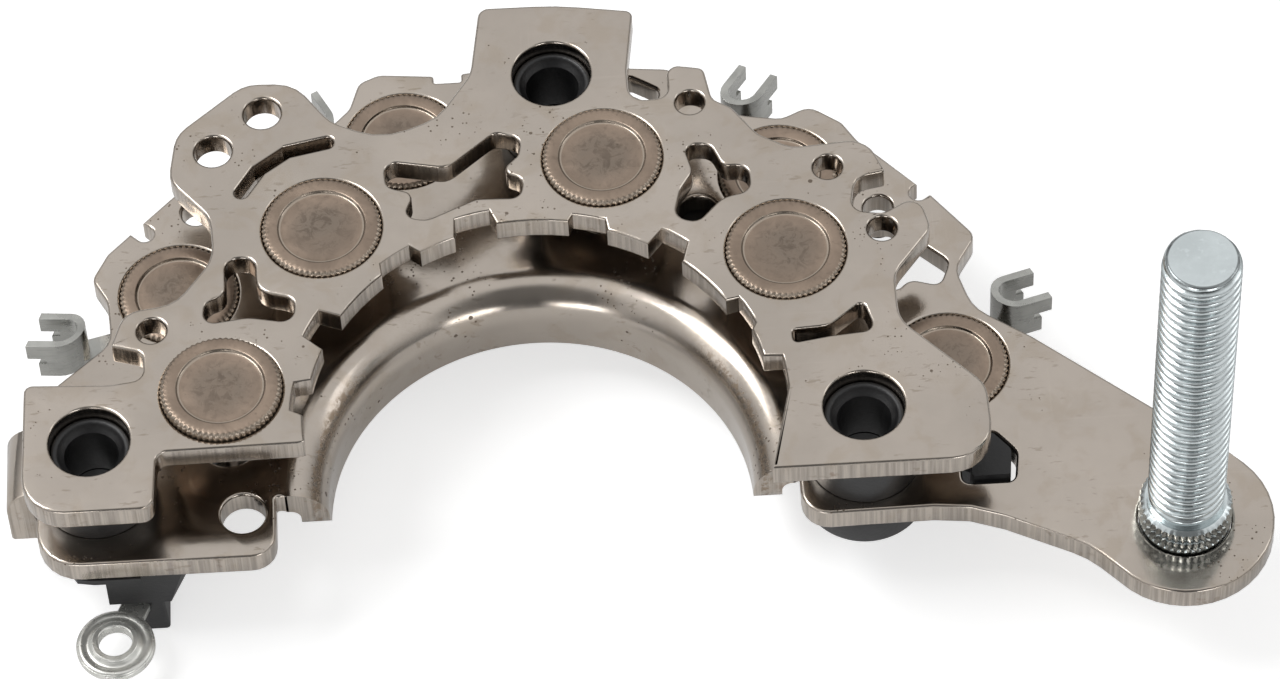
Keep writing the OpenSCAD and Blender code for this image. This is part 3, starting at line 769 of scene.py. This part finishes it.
def knurled_collar(centre, big, teeth):
    """Collar: its radius is drawn in by 0.36 mm times 1 - tooth round it, and by a groove at half height,
    which is 0.2 mm times exp(-(distance / 0.16 mm)^2) deep."""
    low, high = LOWER_TOP + 0.35 * MM, LOWER_TOP + 3.25 * MM
    neck = big - 0.12 * MM
    profile = [(0.3 * MM, LOWER_Z), (4.6 * MM, LOWER_Z), (neck, LOWER_Z + 0.3 * MM)]
    profile += [(neck, LOWER_TOP - 0.1 * MM), (big - 0.1 * MM, low)]
    profile += [(big, z) for z in np.linspace(low + 0.15 * MM, high - 0.2 * MM, 9)]
    profile += [(neck, high), (big - 0.4 * MM, high + 0.22 * MM), (big - 0.6 * MM, high + 0.35 * MM)]
    profile += [(3.4 * MM, high + 0.35 * MM)]

    def knurl(a, r, z):
        on = ramp(z, low, 0.2 * MM) * np.clip((high + 0.05 * MM - z) / (0.2 * MM), 0, 1)
        on = on * ramp(r, 4.3 * MM, 0.2 * MM)
        groove = np.exp(-((z - (low + high) / 2) / (0.16 * MM)) ** 2)
        return -(0.36 * MM * (1 - tooth(a, teeth)) + 0.2 * MM * groove) * on

    cols = teeth * 8
    points, faces = turned(profile, centre, cols, knurl)
    # The ring attribute is the depth into the knurl's grooves, up to 0.8 and none above the collar; the zinc
    # finish paints shade there.
    r = np.hypot(points[:, 0] - centre[0], points[:, 1] - centre[1])
    ring = np.clip((neck - r) / (0.3 * MM), 0, 1) * 0.8
    ring[points[:, 2] > high] = 0
    return points, [faces] + caps(len(profile), cols), ring


class RECTIFIER_OT_stud(Operator):
    """Output stud: threaded shaft with a rounded end, on a knurled collar"""
    bl_idname = "rectifier.stud"
    bl_label = "Output stud"

    def execute(self, context):
        sizes = context.scene.rectifier_sizes
        centre, big, _, top = node_disc("output_stud")
        points, faces, ring = threaded_shaft(centre, top, sizes.thread_pitch)
        make_piece("threaded_shaft", points, faces, "stud", ["output_stud"], 50, ring)
        points, faces, ring = knurled_collar(centre, big, sizes.collar_teeth)
        make_piece("knurled_collar", points, faces, "stud", [], 30, ring)
        return {"FINISHED"}


def foot_profile(r, z0, z2):
    """Section of a foot bush in mm: bore, foot under the lower plate, and the spigot in the plate."""
    z1 = LOWER_Z / MM
    return [(BORE, z2, 0), (BORE, z0 + 0.01, 0.4), (BORE + 0.3, z0, 0.3), (r, z0, 0.5), (r, z1, 0.35),
            (SPIGOT, z1, 0.1), (SPIGOT, z2, 0.2), (BORE, z2, 0)]


def spacer_profile(r, z0, z2):
    """Section of a spacer bush in mm: bore, spacer between the plates, and a spigot with a flared mouth."""
    z1 = UPPER_Z / MM
    return [(BORE, z2 - 0.9, 0), (BORE, z0 + 0.2, 0.2), (BORE + 0.2, z0, 0.1), (r, z0, 0.3), (r, z1, 0.3),
            (SPIGOT, z1, 0.1), (SPIGOT, z2, 0.3), (BORE + 0.75, z2, 0.25), (BORE + 0.45, z2 - 0.45, 0.3),
            (BORE, z2 - 0.9, 0)]


class RECTIFIER_OT_bushes(Operator):
    """Insulating bushes: feet under the lower plate, and spacers with a flared mouth in the upper plate"""
    bl_idname = "rectifier.bushes"
    bl_label = "Bushes"

    def execute(self, context):
        for kind, section in (("foot_bush", foot_profile), ("spacer_bush", spacer_profile)):
            for node in [k for k in NODES if k.startswith(kind)]:
                centre, r, low, top = node_disc(node)
                profile = round_profile(section(r / MM, low / MM, top / MM)) * MM
                points, faces = turned(profile, centre, 96)
                make_piece("turned_" + node, points, [faces], "bush", [node], 40)
        return {"FINISHED"}


class RECTIFIER_OT_terminals(Operator):
    """Fork terminals on their strips, and the ring terminal with its pressed eye"""
    bl_idname = "rectifier.terminals"
    bl_label = "Terminals"

    def execute(self, context):
        for node in [k for k in NODES if k.startswith("phase_terminal")]:
            softened(node, "terminal", 0.12 * MM)
        softened("ring_terminal", "terminal", 0.14 * MM, "ring_eye")
        points, faces = turned(np.array(EYE_RELIEF) * MM, RING_PLACE, 96)
        make_piece("pressed_eye", points, [faces], "terminal", [], 50, finish="ring_eye")
        return {"FINISHED"}


class RECTIFIER_OT_carrier(Operator):
    """Black terminal moulding under the lower plate, with a tapered block and a lip at the left foot"""
    bl_idname = "rectifier.carrier"
    bl_label = "Terminal moulding"

    def execute(self, context):
        body = softened("terminal_carrier", "carrier", 0.25 * MM)
        # The block's lower part moves to the left, and the right edge above it a little more.
        for v in body.data.vertices:
            at_block = v.co.x < -36.5 * MM and v.co.y < -2.5 * MM
            if at_block and v.co.z < -2.25 * MM:
                v.co.x -= 1.5 * MM
            elif at_block and v.co.z < -1.0 * MM and v.co.x > -39 * MM:
                v.co.x -= 1.7 * MM
        n = len(LIP)
        rows = [np.column_stack([np.array(LIP) * MM, np.full(n, z * MM)]) for z in LIP_Z]
        faces = [grid_faces(2, n, True)] + caps(2, n)
        make_piece("moulding_lip", np.concatenate(rows), faces, "carrier", [], 30)
        return {"FINISHED"}


def floor_paper(s):
    """Pale paper that keeps shadows, with a glow that only camera, glossy and transmission rays see."""
    path = s.node("LightPath").outputs
    camera = path["Is Camera Ray"]
    seen = s.most(s.most(camera, path["Is Glossy Ray"]), path["Is Transmission Ray"])
    grain = s.noise(s.place(), 40.0, 3.0)
    paper = s.node("BsdfDiffuse", {"Color": s.over((0.80, 0.80, 0.80, 1), grain, (0.83, 0.83, 0.83, 1))})
    strength = s.most(s.times(camera, 0.62), s.times(seen, 0.25))
    glow = s.node("Emission", {"Color": (1, 1, 1, 1), "Strength": strength})
    return s.finish(s.node("AddShader", {0: paper, 1: glow}))


def studio_room(s):
    """Even light on the object. Camera and transmission rays see white, and glossy rays see a room that
    is brighter overhead and has a dark patch high in front."""
    path = s.node("LightPath").outputs
    seen = s.most(path["Is Camera Ray"], path["Is Transmission Ray"])
    shine = s.most(seen, path["Is Glossy Ray"])
    way = s.node("TexCoord").outputs["Generated"]
    lift = s.step(s.node("SeparateXYZ", {0: way}).outputs[2], -0.1, 0.75, 0.22, 1.0)
    toward = s.node("VectorMath", {0: way, 1: (0.0, -0.80, 0.60)}, operation="DOT_PRODUCT")
    front = s.step(toward.outputs["Value"], 0.79, 0.92, 1.0, 0.24)
    level = s.most(seen, s.times(lift, front))
    light = s.node("Background", {0: (1, 1, 1, 1), 1: 0.32})
    room = s.node("Background", {0: (1, 1, 1, 1), 1: level})
    return s.finish(s.node("MixShader", {0: shine, 1: light, 2: room}))


def add_lamp(name, place, aim, width, height, watts):
    """A rectangular lamp that stands at its place and faces the point it aims at."""
    data = bpy.data.lights.new(name, "AREA")
    data.shape = "RECTANGLE"
    data.size = width
    data.size_y = height
    data.energy = watts
    lamp = bpy.data.objects.new(name, data)
    turn = (Vector(aim) - Vector(place)).to_track_quat("-Z", "Y").to_matrix().to_4x4()
    lamp.matrix_world = Matrix.Translation(place) @ turn
    bpy.context.scene.collection.objects.link(lamp)


def add_camera():
    """The photograph's camera; its three axes are made square to each other first."""
    data = bpy.data.cameras.new("camera")
    data.lens = CAMERA_LENS
    data.sensor_width = 36
    data.clip_start = 0.05
    data.clip_end = 10
    view = bpy.data.objects.new("camera", data)
    ahead = Vector(CAMERA_AHEAD).normalized()
    up = Vector(CAMERA_RIGHT).normalized().cross(ahead).normalized()
    right = ahead.cross(up).normalized()
    turn = Matrix((right, up, -ahead)).transposed().to_4x4()
    view.matrix_world = Matrix.Translation(CAMERA_PLACE) @ turn
    bpy.context.scene.collection.objects.link(view)
    return view


class RECTIFIER_OT_stage(Operator):
    """Pale floor, soft studio lamps and the camera"""
    bl_idname = "rectifier.stage"
    bl_label = "Stage"

    def execute(self, context):
        scene = context.scene
        scene.view_settings.view_transform = "Standard"
        z = CAD_BOX[0][2] - 0.2 * MM
        w = 1.4
        mesh = bpy.data.meshes.new("floor")
        mesh.from_pydata([(-w, -w, z), (w, -w, z), (w, w, z), (-w, w, z)], [], [(0, 1, 2, 3)])
        mesh.materials.append(floor_paper(new_finish("floor_paper")))
        floor = bpy.data.objects.new("floor", mesh)
        scene.collection.objects.link(floor)
        scene.world = studio_room(Shader(bpy.data.worlds.new("studio"), "World"))
        for lamp in LAMPS:
            add_lamp(*lamp)
        scene.camera = add_camera()
        return {"FINISHED"}


STEPS = (
    RECTIFIER_OT_upper_plate, RECTIFIER_OT_lower_plate, RECTIFIER_OT_diodes, RECTIFIER_OT_stud,
    RECTIFIER_OT_bushes, RECTIFIER_OT_terminals, RECTIFIER_OT_carrier, RECTIFIER_OT_stage,
)


class RECTIFIER_PT_panel(Panel):
    """Lists the rectifier's sizes, colours and pieces"""
    bl_label = "Rectifier"
    bl_idname = "RECTIFIER_PT_panel"
    bl_space_type = "VIEW_3D"
    bl_region_type = "UI"
    bl_category = "Rectifier"

    def draw(self, context):
        scene = context.scene
        for kind, group in (
            (RectifierSizes, scene.rectifier_sizes), (RectifierFinish, scene.rectifier_finish),
        ):
            for name in kind.__annotations__:
                self.layout.prop(group, name)
        for step in STEPS:
            self.layout.operator(step.bl_idname)


CLASSES = (RectifierSizes, RectifierFinish, *STEPS, RECTIFIER_PT_panel)


def register():
    for c in CLASSES:
        bpy.utils.register_class(c)
    bpy.types.Scene.rectifier_sizes = PointerProperty(type=RectifierSizes)
    bpy.types.Scene.rectifier_finish = PointerProperty(type=RectifierFinish)


def unregister():
    del bpy.types.Scene.rectifier_finish
    del bpy.types.Scene.rectifier_sizes
    for c in reversed(CLASSES):
        bpy.utils.unregister_class(c)


def main():
    register()
    for o in list(bpy.data.objects):
        if o.name in ("Cube", "Light", "Camera"):
            bpy.data.objects.remove(o)
    for step in STEPS:
        group, name = step.bl_idname.split(".")
        getattr(getattr(bpy.ops, group), name)()
    bpy.context.view_layer.update()


if __name__ == "__main__":
    main()
